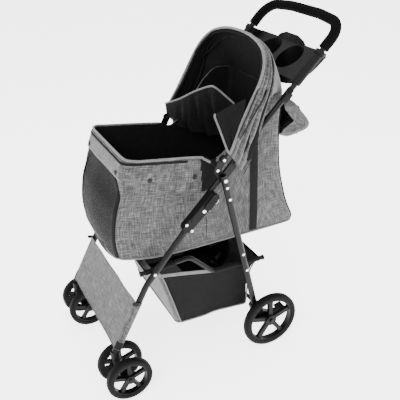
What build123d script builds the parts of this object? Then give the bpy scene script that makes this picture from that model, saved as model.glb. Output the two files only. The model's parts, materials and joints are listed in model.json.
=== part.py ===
from build123d import *
import math
import os

# Folding pet stroller.  Millimetres; X is the width, -Y the front, +Z up.
# The origin lies on the floor, below the middle of the overall box.
# Every side piece is drawn on the +X side and mirrored to the -X side.

# ---- driving dimensions -------------------------------------------------
INNER_X = 176.0          # centre plane of the handle tube's sides
OUTER_X = 194.6          # centre plane of the front and rear legs
BASKET_X = 178.0         # centre plane of the basket side tubes
HANDLE_R = 8.0           # handle tube, outer radius
LEG_WIDE, LEG_FLAT = 9.5, 7.5     # half axes of the oval leg tube, in its plane and across
WALL = 1.5               # wall of every steel tube
HANDLE_RISE = 593.0      # the handle tube leans back at 45 degrees: z = y + HANDLE_RISE

LOCK_Y = -61.0           # fold hinge between handle tube and front leg
REAR_PIVOT_Y = 9.0       # hinge between handle tube and rear leg
CANOPY_Y, CANOPY_Z = 10.0, 660.0  # hinge of both canopy hoops
HANDLE_TOP_Y = 375.0     # corner where the handle turns across
FOAM_END_Y = 319.0       # lower end of the foam grip

REAR_WHEEL_R, REAR_WHEEL_X, REAR_AXLE_Y = 92.0, 217.6, 154.0
FRONT_WHEEL_R, CASTER_X, CASTER_Y = 68.0, 188.0, -343.0
CASTER_TRAIL, WHEEL_PAIR = 22.0, 41.0     # axle behind the swivel; half spacing of the pair
TYRE_W = 24.0

CABIN_X = 150.0          # half width of the cabin
CABIN_WALL = 4.0
RUN_FIT = 0.05           # radial clearance of a pin in a turning part
CENTRE_Y = -3.75           # added to every Y as a part is saved, to centre the overall box

LOCK = (LOCK_Y, LOCK_Y + HANDLE_RISE)
REAR_PIVOT = (REAR_PIVOT_Y, REAR_PIVOT_Y + HANDLE_RISE)
BASKET_PIVOT = (-211.0, 370.0)
PLATE_X = INNER_X + HANDLE_R + 0.1        # inner face of the hinge plate
PLATE_T = 2.5
LEG_IN, LEG_OUT = OUTER_X - LEG_FLAT, OUTER_X + LEG_FLAT
PIN_R = 4.0
RIVET_R = 2.5

FRONT_LEG = [(-68, 525), (-98, 495), (-236, 340), (-337, 158)]
REAR_LEG = [(6, 616), (115, 132)]
BASKET_TUBE = [(-242, 369), (-95, 377), (-24, 308), (144, 302)]
HOUSING_RIVETS = [(-113, 502), (-98, 480)]
REAR_RIVETS = [(14, 579.5), (22.5, 542), (66, 350), (79, 291)]

os.makedirs("parts", exist_ok=True)


# ---- helpers ------------------------------------------------------------
def save(name, shape):
    """Write a part, each of its solids moved by CENTRE_Y in its own geometry."""
    moved = [solid.translate((0, CENTRE_Y, 0)) for solid in shape.solids()]
    export_step(moved[0] if len(moved) == 1 else Compound(children=moved), "parts/" + name + ".step")


def mirrored(shape):
    return mirror(shape, about=Plane.YZ)


def group(*shapes):
    return Compound(children=[s for shape in shapes for s in shape.solids()])


def pin(x0, x1, place, radius):
    """Plain cylinder along X from x0 to x1, centred at place = (y, z)."""
    low, high = min(x0, x1), max(x0, x1)
    start = Plane(origin=(low, place[0], place[1]), x_dir=(0, 1, 0), z_dir=(1, 0, 0))
    return extrude(start * Circle(radius), high - low)


def rivet(x0, x1, place, radius, head_r=4.5, head_h=2.2, both=False):
    """Pin with a domed head on its outer end x1, and on x0 too if asked."""
    dome = pin(x1, x1 + head_h, place, head_r)
    dome = fillet(dome.edges().group_by(Axis.X)[-1], head_h * 0.8)
    shape = pin(x0, x1, place, radius) + dome
    if both:
        tail = pin(x0 - head_h, x0, place, head_r)
        shape = shape + fillet(tail.edges().group_by(Axis.X)[0], head_h * 0.8)
    return shape


def side_path(x, points, radius):
    """Polyline with rounded corners in the plane at x; points are (y, z)."""
    corners = [(x, y, z) for y, z in points]
    if len(corners) == 2:
        return Wire([Line(corners[0], corners[1])])
    return FilletPolyline(*corners, radius=radius)


def tube(path, section, bore):
    """Sweep an outer section less its bore along path, kept square to X."""
    frame = Plane(origin=path @ 0, x_dir=(1, 0, 0), z_dir=path % 0)
    return sweep(frame * section, path=path) - sweep(frame * bore, path=path)


def oval_tube(x, points, radius):
    outer = Ellipse(LEG_FLAT, LEG_WIDE)
    bore = Ellipse(LEG_FLAT - WALL, LEG_WIDE - WALL)
    return tube(side_path(x, points, radius), outer, bore)


def slot_plate(x0, x1, centres, radius):
    """Flat plate between x0 and x1: discs of the radius joined by straight sides."""
    plane = Plane(origin=(x0, 0, 0), x_dir=(0, 1, 0), z_dir=(1, 0, 0))
    outline = Sketch() + Pos(*centres[0]) * Circle(radius)
    for a, b in zip(centres, centres[1:]):
        run = math.dist(a, b)
        turn = math.degrees(math.atan2(b[1] - a[1], b[0] - a[0]))
        middle = Pos((a[0] + b[0]) / 2, (a[1] + b[1]) / 2) * Rot(0, 0, turn)
        outline += middle * Rectangle(run, 2 * radius) + Pos(*b) * Circle(radius)
    return extrude(plane * outline, x1 - x0)


def side_prism(x0, x1, points):
    """Polygon of (y, z) points carried from x0 to x1."""
    plane = Plane(origin=(x0, 0, 0), x_dir=(0, 1, 0), z_dir=(1, 0, 0))
    return extrude(plane * make_face(Polyline(*points, close=True)), x1 - x0)


def block(x0, x1, y0, y1, z0, z1):
    centre = ((x0 + x1) / 2, (y0 + y1) / 2, (z0 + z1) / 2)
    return Pos(*centre) * Box(x1 - x0, y1 - y0, z1 - z0)


def on_handle(y, off=0.0):
    """Place (y, z) on the handle tube's line, moved off it square to the tube."""
    step = off / math.sqrt(2)
    return (y - step, y + HANDLE_RISE + step)


# ---- handle -------------------------------------------------------------
SPLAY_Y, TOP_X = 40.0, 183.0        # the sides run straight to here, then spread a little


def handle_x(y):
    """Half width of the handle tube at y."""
    share = max(0.0, (y - SPLAY_Y) / (HANDLE_TOP_Y - SPLAY_Y))
    return INNER_X + (TOP_X - INNER_X) * share


def handle_corners(start_y):
    first = (handle_x(start_y), start_y, start_y + HANDLE_RISE)
    bend = (INNER_X, SPLAY_Y, SPLAY_Y + HANDLE_RISE)
    top = (TOP_X, HANDLE_TOP_Y, HANDLE_TOP_Y + HANDLE_RISE)
    brow = (70.0, HANDLE_TOP_Y + 9.0, HANDLE_TOP_Y + HANDLE_RISE + 9.0)
    half = [first, bend, top, brow] if start_y < SPLAY_Y else [first, top, brow]
    return half + [(-x, y, z) for x, y, z in reversed(half)]


def handle_path(start_y):
    corners = handle_corners(start_y)
    bends = [300.0, 55.0, 250.0] if start_y < SPLAY_Y else [55.0, 250.0]
    return FilletPolyline(*corners, radius=bends + bends[::-1])


def handle_tube():
    path = handle_path(LOCK_Y - 11.0)
    shape = tube(path, Circle(HANDLE_R), Circle(HANDLE_R - WALL))
    for side in (1, -1):
        for y, z in (LOCK, REAR_PIVOT):
            shape -= pin(side * (INNER_X - 12), side * (INNER_X + 12), (y, z), PIN_R + RUN_FIT)
    return shape


def handle_foam():
    return tube(handle_path(FOAM_END_Y), Circle(14.5), Circle(HANDLE_R + 0.05))


TRAY_LOW_Y, TRAY_HIGH_Y = 236.0, 312.0
TRAY_Y, TRAY_Z, TRAY_TILT = 297.0, 864.0, 32.2      # the tray's top plane
WELL_X, WELL_Y, WELL_RX, WELL_RY, WELL_FLOOR_Z = 56.0, 297.0, 43.0, 39.0, 803.0


def tray_top():
    a = math.radians(TRAY_TILT)
    return Plane(origin=(0, TRAY_Y, TRAY_Z), x_dir=(1, 0, 0), z_dir=(0, -math.sin(a), math.cos(a)))


def sleeve_line(side, back=0.0):
    """Plane across the handle tube at the tray's lower end, and the run along the tube."""
    lean = Vector(side * (TOP_X - INNER_X), HANDLE_TOP_Y - SPLAY_Y, HANDLE_TOP_Y - SPLAY_Y)
    start = Vector(side * handle_x(TRAY_LOW_Y), TRAY_LOW_Y, TRAY_LOW_Y + HANDLE_RISE)
    return Plane(origin=start, x_dir=(1, 0, 0), z_dir=lean).offset(back)


def cup_tray():
    """Moulded tray: deck with two wells, a raised back, and a sleeve round each side tube."""
    length = (TRAY_HIGH_Y - TRAY_LOW_Y) * math.sqrt(2)
    deck = extrude(tray_top() * Pos(0, -5.5) * RectangleRounded(340, 117, 14), 2.0, both=True)
    for side in (1, -1):
        floor = Plane(origin=(side * WELL_X, WELL_Y, WELL_FLOOR_Z - 3))
        deck += extrude(floor * Ellipse(WELL_RX + 3, WELL_RY + 3), 90)
    above = tray_top() * Pos(0, 0, 2 + 150) * Box(600, 600, 300)
    shape = deck - above
    brow = [(-80, 884), (-58, 904), (-30, 914), (30, 914), (58, 904), (80, 884)]
    brow_face = Plane(origin=(0, 342.5, 0), x_dir=(1, 0, 0), z_dir=(0, -1, 0))
    shape += extrude(brow_face * make_face(Polyline(*brow, close=True)), 5)
    cheek = [(240, 818), (236, 829), (312, 905), (338, 893), (338, 882), (300, 852)]
    for side in (1, -1):
        low, high = sorted((side * 158.0, side * 171.0))
        shape += side_prism(low, high, cheek)
        shape += extrude(sleeve_line(side) * Circle(12.5), length)
        shape += extrude(sleeve_line(side, length - 12) * Circle(15.5), 12)
    for side in (1, -1):
        shape -= extrude(sleeve_line(side, -10) * Circle(HANDLE_R + 0.05), length + 20)
        floor = Plane(origin=(side * WELL_X, WELL_Y, WELL_FLOOR_Z))
        shape -= extrude(floor * Ellipse(WELL_RX, WELL_RY), 160)
    return shape


# ---- hinge plates and their rivets --------------------------------------
PLATE_POINTS = [(CANOPY_Y, CANOPY_Z), (-6.0, 630.0), REAR_PIVOT, on_handle(38.0)]
PLATE_RIVET = (-6.0, 630.0)


def hinge_plate():
    shape = slot_plate(PLATE_X, PLATE_X + PLATE_T, PLATE_POINTS, 11.0)
    shape -= pin(PLATE_X - 1, PLATE_X + 5, (CANOPY_Y, CANOPY_Z), 3.0)
    shape -= pin(PLATE_X - 1, PLATE_X + 5, REAR_PIVOT, PIN_R)
    return shape - pin(PLATE_X - 1, PLATE_X + 5, PLATE_RIVET, RIVET_R)


def hinge_rivets():
    out = PLATE_X + PLATE_T
    canopy_pin = rivet(PLATE_X, out + 7.8, (CANOPY_Y, CANOPY_Z), 3.0)
    leg_pin = rivet(INNER_X - HANDLE_R - 1, LEG_OUT + 0.4, REAR_PIVOT, PIN_R, 5.5)
    wire_pin = rivet(PLATE_X, out, PLATE_RIVET, RIVET_R)
    shapes = [canopy_pin, leg_pin, wire_pin]
    return group(*shapes, *[mirrored(s) for s in shapes])


# ---- front legs ---------------------------------------------------------
def front_leg():
    shape = oval_tube(OUTER_X, FRONT_LEG, 120.0)
    shape -= pin(LEG_IN - 2, LEG_OUT + 2, BASKET_PIVOT, RIVET_R + 0.5)
    shape -= pin(LEG_IN - 2, LEG_OUT + 2, LOCK, PIN_R)
    for place in HOUSING_RIVETS:
        shape -= pin(LEG_IN - 2, LEG_OUT + 2, place, RIVET_R)
    return shape


HOUSING_IN, HOUSING_OUT = LEG_IN - 0.5, LEG_OUT + 8.0
HOUSING_LOW, HOUSING_HIGH = (-120.0, 486.0), (-30.0, 563.0)


def lock_housing():
    """Moulded box round the top of the front leg; the handle tube passes inside it."""
    upper = slot_plate(HOUSING_IN, HOUSING_OUT, [(-84, 514), HOUSING_HIGH], 14.5)
    lower = slot_plate(HOUSING_IN, HOUSING_OUT - 3, [(-108, 492), (-84, 514)], 14.5)
    shape = fillet((upper + lower).edges().group_by(Axis.X)[-1], 2.5)
    shape -= sweep(Plane(origin=(OUTER_X, *FRONT_LEG[0]), x_dir=(1, 0, 0), z_dir=(0, -1, -1))
                   * Ellipse(LEG_FLAT, LEG_WIDE), path=side_path(OUTER_X, FRONT_LEG, 120.0))
    shape -= pin(HOUSING_IN - 1, HOUSING_OUT + 1, LOCK, PIN_R)
    for place in HOUSING_RIVETS:
        shape -= pin(HOUSING_IN - 1, HOUSING_OUT + 1, place, RIVET_R)
    return shape


def front_rivets():
    lock_pin = rivet(INNER_X - HANDLE_R - 1, HOUSING_OUT, LOCK, PIN_R, 5.5)
    basket_pin = rivet(BASKET_X - 7.5, LEG_OUT, BASKET_PIVOT, RIVET_R + 0.5)
    shapes = [lock_pin, basket_pin]
    for place in HOUSING_RIVETS:
        shapes.append(rivet(HOUSING_IN, HOUSING_OUT - 3, place, RIVET_R))
    return group(*shapes, *[mirrored(s) for s in shapes])


def lock_slide():
    """Sliding cover on the housing's outer face, pulled up to free the fold."""
    face = HOUSING_OUT + 0.1
    shape = slot_plate(face, face + 4.5, [(-48, 545), (-28, 565)], 11.0)
    ribs = [slot_plate(face, face + 6.5, [(y - 7, y + HANDLE_RISE + 7), (y + 7, y + HANDLE_RISE - 7)], 1.4)
            for y in (-43, -38, -33)]
    return shape + ribs[0] + ribs[1] + ribs[2]


SOCKET_TOP, SOCKET_LOW = 168.0, 122.0


def leg_socket():
    """Plug on the leg's lower end that holds the caster's upright pin."""
    body = Pos(CASTER_X, CASTER_Y, SOCKET_LOW) * Cylinder(
        14.0, 26.0, align=(Align.CENTER, Align.CENTER, Align.MIN))
    low, high = FRONT_LEG[-1], FRONT_LEG[-2]
    lean = Vector(0, high[0] - low[0], high[1] - low[1]).normalized()
    start = Vector(OUTER_X, low[0], low[1]) - lean * 12
    frame = Plane(origin=start, x_dir=(1, 0, 0), z_dir=lean)
    body += extrude(frame * Ellipse(LEG_FLAT + 2.5, LEG_WIDE + 2.5), 36)
    body -= extrude(frame.offset(12) * Ellipse(LEG_FLAT, LEG_WIDE), 60)
    return body - Pos(CASTER_X, CASTER_Y, SOCKET_LOW - 1) * Cylinder(
        6.0, 19.0, align=(Align.CENTER, Align.CENTER, Align.MIN))


PANEL_TOP, PANEL_LOW = (-283.0, 292.0), (-354.0, 160.0)


def front_panel():
    """Cloth panel stretched across the front of the two legs."""
    return slot_plate(-LEG_OUT, LEG_OUT, [PANEL_TOP, PANEL_LOW], 1.2)


def panel_tabs():
    tab = slot_plate(LEG_OUT + 0.1, LEG_OUT + 2.3, [(-262, 291), (-279, 297)], 5.0)
    return group(tab, mirrored(tab))


# ---- casters and wheels -------------------------------------------------
AXLE_Y = CASTER_Y + CASTER_TRAIL


def caster_fork():
    """Swivel pin, hub body and stub axles of one front caster."""
    z = FRONT_WHEEL_R
    stem = Pos(CASTER_X, CASTER_Y, 108) * Cylinder(
        6.0 - RUN_FIT, 30, align=(Align.CENTER, Align.CENTER, Align.MIN))
    boss = Pos(CASTER_X, CASTER_Y, 84) * Cylinder(
        15.0, 37.5, align=(Align.CENTER, Align.CENTER, Align.MIN))
    inner = WHEEL_PAIR - TYRE_W / 2 - 2.0
    hub = slot_plate(CASTER_X - inner, CASTER_X + inner, [(AXLE_Y, z), (CASTER_Y + 2, 88)], 14.0)
    hub -= block(CASTER_X - 40, CASTER_X - 16, CASTER_Y - 30, CASTER_Y - 1, 60, 130)
    hub -= block(CASTER_X + 16, CASTER_X + 40, CASTER_Y - 30, CASTER_Y - 1, 60, 130)
    reach = WHEEL_PAIR + TYRE_W / 2 + 2.0
    stub = pin(CASTER_X - reach, CASTER_X + reach, (AXLE_Y, z), 5.0)
    shape = stem + boss + hub + stub
    shape -= block(CASTER_X - 8.3, CASTER_X + 8.3, CASTER_Y - 30, CASTER_Y - 10.5, 60, 130)
    return shape + pin(CASTER_X - 14, CASTER_X + 14, LOCK_LEVER, 2.5)


LOCK_LEVER = (CASTER_Y - 14.5, 96.0)


def caster_lever():
    """Foot lever in front of the caster that stops it swivelling."""
    y, z = LOCK_LEVER
    arm = slot_plate(CASTER_X - 8, CASTER_X + 8, [(y, z), (y - 12, z - 5)], 4.0)
    pad = slot_plate(CASTER_X - 12, CASTER_X + 12, [(y - 12, z - 5), (y - 30, z - 14)], 3.5)
    shape = arm + pad
    return shape - pin(CASTER_X - 20, CASTER_X + 20, LOCK_LEVER, 2.5 + RUN_FIT)


def wheel_rim(radius, x, place, tyre_depth, width, bore, spokes=5):
    """Hub, spokes and rim ring of one wheel, about an axis along X."""
    ring_out = radius - tyre_depth
    ring = pin(x - width / 2, x + width / 2, place, ring_out)
    ring -= pin(x - width, x + width, place, ring_out - 5.0)
    hub = pin(x - width / 2 - 1.0, x + width / 2 + 1.0, place, radius * 0.19)
    shape = ring + hub
    for i in range(spokes):
        angle = math.radians(90 + 360 * i / spokes)
        near, far = radius * 0.12, ring_out - 2.0
        a = (place[0] + near * math.cos(angle), place[1] + near * math.sin(angle))
        b = (place[0] + far * math.cos(angle), place[1] + far * math.sin(angle))
        shape += slot_plate(x - width * 0.3, x + width * 0.3, [a, b], radius * 0.075)
    outside = pin(x - width, x + width, place, radius + 20)
    outside -= pin(x - width, x + width, place, ring_out)
    return shape - outside - pin(x - width, x + width, place, bore)


def wheel_tyre(radius, x, place, tyre_depth, width):
    ring = pin(x - width / 2, x + width / 2, place, radius)
    edges = ring.edges().filter_by(GeomType.CIRCLE)
    ring = fillet(edges, tyre_depth * 0.55)
    return ring - pin(x - width, x + width, place, radius - tyre_depth)


# ---- rear legs ----------------------------------------------------------
REAR_AXLE = (REAR_AXLE_Y, REAR_WHEEL_R)
PEDAL_PIVOT = (REAR_AXLE_Y + 25.0, 100.0)


def rear_leg():
    shape = oval_tube(OUTER_X, REAR_LEG, 0)
    shape -= pin(LEG_IN - 2, LEG_OUT + 2, REAR_PIVOT, PIN_R + RUN_FIT)
    for place in REAR_RIVETS:
        shape -= pin(LEG_IN - 2, LEG_OUT + 2, place, RIVET_R)
    return shape


def rear_rivets():
    shapes = [rivet(LEG_IN, LEG_OUT, place, RIVET_R, both=False) for place in REAR_RIVETS]
    return group(*shapes, *[mirrored(s) for s in shapes])


def rear_foot():
    """Moulded foot on the leg's lower end, with the axle boss and pedal lug."""
    top = (112.0, 146.0)
    shape = slot_plate(183.5, 204.0, [top, (126.0, 108.0), REAR_AXLE], 15.5)
    shape += slot_plate(184.0, 191.0, [REAR_AXLE, PEDAL_PIVOT], 7.0)
    leg = side_path(OUTER_X, REAR_LEG, 0)
    frame = Plane(origin=leg @ 0, x_dir=(1, 0, 0), z_dir=leg % 0)
    shape -= sweep(frame * Ellipse(LEG_FLAT, LEG_WIDE), path=leg)
    shape -= pin(150, 240, REAR_AXLE, 6.0)
    return shape + pin(190, 203.5, PEDAL_PIVOT, 3.0)


def rear_axle():
    return pin(-REAR_WHEEL_X - 16, REAR_WHEEL_X + 16, REAR_AXLE, 6.0)


def brake_pedal():
    y, z = PEDAL_PIVOT
    shape = slot_plate(191.3, 203.4, [(y, z), (y + 16, z + 2)], 6.5)
    shape += slot_plate(176.0, 203.4, [(y + 18, z + 2), (y + 36, z + 7)], 3.5)
    return shape - pin(180, 210, PEDAL_PIVOT, 3.0 + RUN_FIT)


# ---- basket -------------------------------------------------------------
BASKET_R = 6.5
BAG_TOP = [(-232, 361), (-95, 368), (-28, 299), (138, 293)]
BAG_LOW = [(112, 140), (-4, 152), (-128, 150)]


def basket_tube():
    path = side_path(BASKET_X, BASKET_TUBE, 28.0)
    shape = tube(path, Circle(BASKET_R), Circle(BASKET_R - WALL))
    return shape - pin(BASKET_X - 12, BASKET_X + 12, BASKET_PIVOT, RIVET_R + 0.5 + RUN_FIT)


def tube_plugs():
    shapes = []
    for end, inner in ((BASKET_TUBE[0], BASKET_TUBE[1]), (BASKET_TUBE[-1], BASKET_TUBE[-2])):
        outwards = (0, end[0] - inner[0], end[1] - inner[1])
        plane = Plane(origin=(BASKET_X, *end), x_dir=(1, 0, 0), z_dir=outwards)
        shapes.append(extrude(plane * Circle(BASKET_R + 1.2), 5))
    return group(*shapes, *[mirrored(s) for s in shapes])


def basket_cross_wires():
    """Two stiffening rods across the basket, inside its front and rear hems."""
    reach = BASKET_X - BASKET_R - 0.4
    return group(*[pin(-reach, reach, place, 3.0) for place in ((-228, 369), (136, 302))])


def basket_bag():
    """Open-topped cloth bag hung between the two side tubes."""
    half = BASKET_X - BASKET_R - 2.5
    outer = side_prism(-half, half, BAG_TOP + BAG_LOW)
    top = [(-229, 420), (-228, 360), (-131, 154), (-4, 156), (109, 144), (134, 290), (134, 420)]
    return outer - side_prism(-half + 3, half - 3, top)


def basket_board():
    board = slot_plate(-150, 150, [(-112, 161), (-4, 164), (96, 155)], 2.5)
    return board


# ---- cabin --------------------------------------------------------------
CABIN_OUT = [(-294, 418), (-232, 398), (-168, 386), (61, 383), (262, 383), (272, 404), (240, 496),
             (222, 582), (218, 690), (226, 770), (228, 792), (203, 774), (20, 600), (-16, 652),
             (-246, 690), (-262, 652), (-268, 600), (-290, 548), (-299, 480)]
CABIN_IN = [(-290, 421), (-230, 402), (-168, 390), (61, 387), (259, 387), (268, 404), (236, 496),
            (218, 582), (214, 690), (222, 770), (224, 900), (-242, 900), (-242, 690), (-258, 652),
            (-264, 600), (-286, 548), (-295, 480)]
WINDOW_HALF, WINDOW_LOW, WINDOW_TOP = 128.0, 432.0, 640.0


def cabin_shell():
    """Cloth tub: floor, side walls, back wall and the front with its arched window."""
    outer = side_prism(-CABIN_X, CABIN_X, CABIN_OUT)
    side = CABIN_X - CABIN_WALL
    shape = outer - side_prism(-side, side, CABIN_IN)
    front = Plane(origin=(0, -330, 0), x_dir=(1, 0, 0), z_dir=(0, -1, 0))
    straight = WINDOW_TOP - WINDOW_HALF * 0.6
    arch = front * (Pos(0, (WINDOW_LOW + straight) / 2) * Rectangle(2 * WINDOW_HALF, straight - WINDOW_LOW)
                    + Pos(0, straight) * Ellipse(WINDOW_HALF, WINDOW_HALF * 0.6))
    return shape - extrude(arch, -100)


def front_window():
    """Mesh window just inside the front wall's opening."""
    face = [(-294, 425), (-299, 480), (-290, 548), (-268, 600), (-262, 648)]
    inner = [(y + 3.9, z) for y, z in face]
    room = [(y + 2.4, z) for y, z in face]
    plate = side_prism(-WINDOW_HALF + 0.2, WINDOW_HALF - 0.2, room + inner[::-1])
    front = Plane(origin=(0, -330, 0), x_dir=(1, 0, 0), z_dir=(0, -1, 0))
    straight = WINDOW_TOP - WINDOW_HALF * 0.6
    half, low = WINDOW_HALF - 0.2, WINDOW_LOW + 0.2
    arch = front * (Pos(0, (low + straight) / 2) * Rectangle(2 * half, straight - low)
                    + Pos(0, straight) * Ellipse(half, half * 0.6))
    return plate & extrude(arch, -100)


def floor_pad():
    shape = block(-142, 142, -226, 254, 404, 422)
    return fillet(shape.edges().filter_by(Axis.Z), 18)


def rim_wire():
    """Wire hoop that holds the cabin's rim open, hooked on the two hinge plates."""
    half = [(PLATE_X - 1.6, *PLATE_RIVET), (162, -16, 650), (148, -36, 661), (148, -242, 693.5)]
    corners = half + [(-x, y, z) for x, y, z in reversed(half)]
    path = FilletPolyline(*corners, radius=[8, 8, 34, 34, 8, 8])
    frame = Plane(origin=path @ 0, z_dir=path % 0)
    return sweep(frame * Circle(2.2), path=path)


def snap_buttons():
    shapes = []
    for y, z in ((-189, 631), (-60, 611)):
        disc = fillet(pin(CABIN_X, CABIN_X + 2.2, (y, z), 6.0).edges().group_by(Axis.X)[-1], 1.5)
        shapes += [disc, mirrored(disc)]
    return group(*shapes)


def side_straps():
    strap = block(CABIN_X, CABIN_X + 1.6, 114, 139, 386, 640)
    return group(strap, mirrored(strap))


def rear_pouch():
    """Cloth pocket that hangs from the top of the back wall."""
    outline = [(241, 768), (268, 762), (300, 728), (330, 686), (322, 672), (262, 652), (240, 655)]
    return side_prism(-125, 125, outline)


def hanging_straps():
    """Webbing under the tray that hangs the cabin's back from the handle tube."""
    strap = block(163.0, 165.0, 196, 240, 756, 800)
    return group(strap, mirrored(strap))


# ---- canopy -------------------------------------------------------------
FRONT_HOOP_DEG, REAR_HOOP_DEG = 60.7, 52.5


def hoop_plane(degrees):
    """Plane through the canopy hinge, with its Y axis up the hoop."""
    a = math.radians(degrees)
    normal = (0, math.sin(a), -math.cos(a))
    return Plane(origin=(0, CANOPY_Y, CANOPY_Z), x_dir=(1, 0, 0), z_dir=normal)


def hoop_line(first_x, scale=1.0):
    """Inverted U of one hoop as (x, distance up the hoop) corners."""
    half = [(first_x, 8.5), (204, 70), (197, 205), (140, 304), (42, 323)]
    half = [(x, -r * scale) for x, r in half]
    return half + [(-x, r) for x, r in reversed(half)]


HOOP_BENDS = [60, 110, 80, 250]


def canopy_hoop(degrees, eye_x, wire_x, scale=1.0):
    flat = FilletPolyline(*hoop_line(wire_x, scale), radius=HOOP_BENDS + HOOP_BENDS[::-1])
    path = hoop_plane(degrees) * flat
    frame = Plane(origin=path @ 0, z_dir=path % 0)
    wire = sweep(frame * Circle(1.9), path=path)
    eye = pin(eye_x, eye_x + 2.8, (CANOPY_Y, CANOPY_Z), 9.0)
    hole = pin(eye_x - 1, eye_x + 4, (CANOPY_Y, CANOPY_Z), 3.0 + RUN_FIT)
    eye = eye - hole
    return wire + eye + mirrored(eye)


def hood_outline(grow):
    """Closed outline of the hood across its width, grown outwards by grow."""
    half = [(206, 30), (206, 75), (199, 207), (141, 309), (43, 328)]
    half = [(x + grow, -r - (grow if r > 200 else 0)) for x, r in half]
    corners = half + [(-x, r) for x, r in reversed(half)]
    curve = FilletPolyline(*corners, radius=[60, 110, 80, 250, 250, 80, 110, 60])
    return make_face(Wire([*curve.edges(), Line(curve @ 1, curve @ 0)]))


def behind_handle(off):
    """Everything behind a plane that lies off in front of the handle tube's line."""
    return side_prism(-300, 300, [on_handle(-200, off), on_handle(600, off), (600, 393)])


def canopy_shell():
    """Cloth hood folded back: a shallow shell open to the front and below."""
    depth = 56.0
    plane = hoop_plane(FRONT_HOOP_DEG).offset(-3.0)
    outer = extrude(plane * hood_outline(4.0), depth) - behind_handle(12.0)
    inner = extrude(plane.offset(-1) * hood_outline(0.8), depth - 2.0) - behind_handle(15.0)
    mouth = extrude(plane.offset(-5) * Pos(0, -10) * Rectangle(500, 90), depth + 10)
    return outer - inner - mouth


def mesh_cover():
    """Loose mesh front cover, unzipped and hanging inside the hood."""
    return slot_plate(-150, 150, [(102, 800), (66, 737), (44, 697)], 1.2)


# ---- write the parts ----------------------------------------------------
def write_pair(name, shape):
    save(name + "_right", shape)
    save(name + "_left", mirrored(shape))


save("handle_tube", handle_tube())
save("handle_foam", handle_foam())
save("cup_tray", cup_tray())
write_pair("hinge_plate", hinge_plate())
save("hinge_rivets", hinge_rivets())
write_pair("front_leg", front_leg())
write_pair("lock_housing", lock_housing())
write_pair("lock_slide", lock_slide())
save("front_rivets", front_rivets())
save("leg_sockets", group(leg_socket(), mirrored(leg_socket())))
save("front_panel", front_panel())
save("panel_tabs", panel_tabs())
write_pair("caster_fork", caster_fork())
write_pair("caster_lever", caster_lever())
for label, offset in (("outer", WHEEL_PAIR), ("inner", -WHEEL_PAIR)):
    centre = (AXLE_Y, FRONT_WHEEL_R)
    x = CASTER_X + offset
    rim = wheel_rim(FRONT_WHEEL_R, x, centre, 14.0, 20.0, 5.0 + RUN_FIT)
    write_pair("front_rim_" + label, rim)
    write_pair("front_tyre_" + label, wheel_tyre(FRONT_WHEEL_R, x, centre, 14.0, TYRE_W))
write_pair("rear_leg", rear_leg())
save("rear_rivets", rear_rivets())
write_pair("rear_foot", rear_foot())
save("rear_axle", rear_axle())
write_pair("brake_pedal", brake_pedal())
write_pair("rear_rim", wheel_rim(REAR_WHEEL_R, REAR_WHEEL_X, REAR_AXLE, 17.0, 20.0, 6.0 + RUN_FIT))
write_pair("rear_tyre", wheel_tyre(REAR_WHEEL_R, REAR_WHEEL_X, REAR_AXLE, 17.0, TYRE_W))
write_pair("basket_tube", basket_tube())
save("tube_plugs", tube_plugs())
save("basket_cross_wires", basket_cross_wires())
save("basket_bag", basket_bag())
save("basket_board", basket_board())
save("cabin_shell", cabin_shell())
save("front_window", front_window())
save("floor_pad", floor_pad())
save("rim_wire", rim_wire())
save("snap_buttons", snap_buttons())
save("side_straps", side_straps())
save("rear_pouch", rear_pouch())
save("hanging_straps", hanging_straps())
save("canopy_front_hoop", canopy_hoop(FRONT_HOOP_DEG, 187.3, 189.0))
save("canopy_rear_hoop", canopy_hoop(REAR_HOOP_DEG, 191.4, 193.8, 0.985))
save("canopy_shell", canopy_shell())
save("mesh_cover", mesh_cover())
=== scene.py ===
# %% [markdown]
# # Folding pet stroller
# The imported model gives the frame: tubes, hinges, wheels and the places of everything else.
# This notebook adds the cloth parts, the finishes, the camera and the light.
# All shapes are worked out in millimetres and turned to metres as each mesh is made.

# %% Load the frame
import json

import bpy
import numpy as np
from mathutils import Matrix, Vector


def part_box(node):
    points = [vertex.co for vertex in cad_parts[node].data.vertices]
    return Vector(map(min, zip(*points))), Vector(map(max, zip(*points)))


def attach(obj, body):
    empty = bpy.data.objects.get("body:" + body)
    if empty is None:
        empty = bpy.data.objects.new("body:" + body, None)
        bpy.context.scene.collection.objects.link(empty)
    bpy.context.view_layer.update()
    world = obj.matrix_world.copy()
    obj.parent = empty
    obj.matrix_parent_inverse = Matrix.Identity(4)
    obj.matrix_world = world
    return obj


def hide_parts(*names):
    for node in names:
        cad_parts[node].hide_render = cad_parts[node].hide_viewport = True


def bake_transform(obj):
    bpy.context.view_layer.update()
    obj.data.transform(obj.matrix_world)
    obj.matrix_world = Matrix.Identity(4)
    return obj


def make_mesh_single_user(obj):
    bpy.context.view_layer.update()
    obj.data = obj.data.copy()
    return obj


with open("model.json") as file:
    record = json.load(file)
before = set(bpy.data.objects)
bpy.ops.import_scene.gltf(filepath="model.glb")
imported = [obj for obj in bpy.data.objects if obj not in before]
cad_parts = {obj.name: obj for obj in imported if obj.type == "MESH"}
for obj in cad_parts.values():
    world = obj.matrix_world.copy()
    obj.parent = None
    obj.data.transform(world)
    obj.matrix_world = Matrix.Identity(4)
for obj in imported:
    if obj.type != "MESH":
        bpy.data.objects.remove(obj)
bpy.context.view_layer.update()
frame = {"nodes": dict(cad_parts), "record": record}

# %% [markdown]
# ## Tools for shapes
# A surface is a grid of points, a rod is a ring swept along a line, and a ribbon is a strip.
# They could be drawn by hand with curves and modifiers. Working the points out as arrays keeps
# every piece in one frame with the tubes, and a changed size needs no redrawing.

# %% Shape tools
SHIFT_Y = -3.75      # the shift that centres the overall box, in millimetres
rng = np.random.default_rng(7)


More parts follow.
